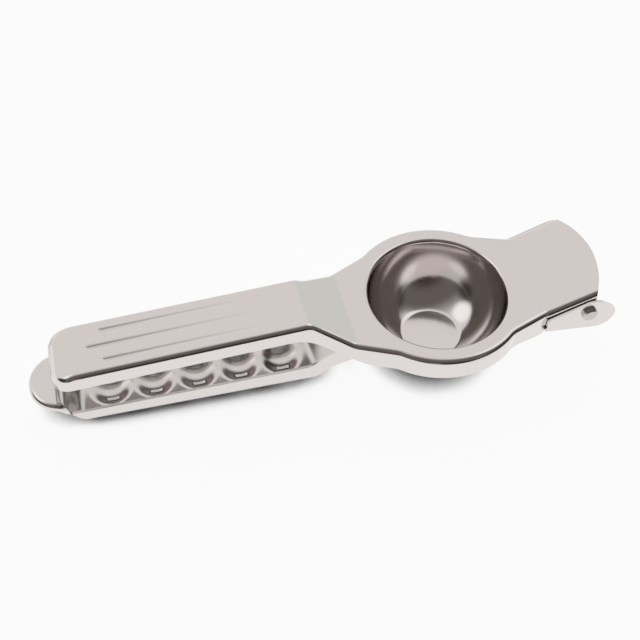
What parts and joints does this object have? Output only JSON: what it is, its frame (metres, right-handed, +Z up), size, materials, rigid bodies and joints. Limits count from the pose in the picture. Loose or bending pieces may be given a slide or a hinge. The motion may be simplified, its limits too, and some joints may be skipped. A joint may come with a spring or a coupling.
{
  "type": "hinged lemon squeezer",
  "caption": "Polished sheet-steel lemon squeezer: a press cup on the upper lever nests in a strainer bowl on the lower lever, hinged by rivets through the ears behind the bowl.",
  "frame": {"origin": "centre of the strainer bowl's flat bottom, on its outer face", "axes": "+X along the tool from the handles to the hinge, +Z up out of the bowl, square to the cup's rim plane, +Y to the left of a person looking along +X"},
  "size_m": [0.2001, 0.065, 0.0351],
  "materials": {
    "upper_lever": "polished stainless steel sheet",
    "lower_lever": "polished stainless steel sheet",
    "rivet_steel": "satin steel rivet"
  },
  "bodies": {
    "lower_body": {"lower_lever": "lower_lever", "hinge_rivet_near": "rivet_steel", "hinge_rivet_far": "rivet_steel"},
    "upper_body": {"upper_lever": "upper_lever"}
  },
  "joints": [
    {"name": "lever_hinge", "type": "hinge", "parent": "lower_body", "child": "upper_body", "pos_m": [0.0493, 0, 0.0251], "axis": [0, 1, 0], "range_deg": [0, 150]}
  ]
}
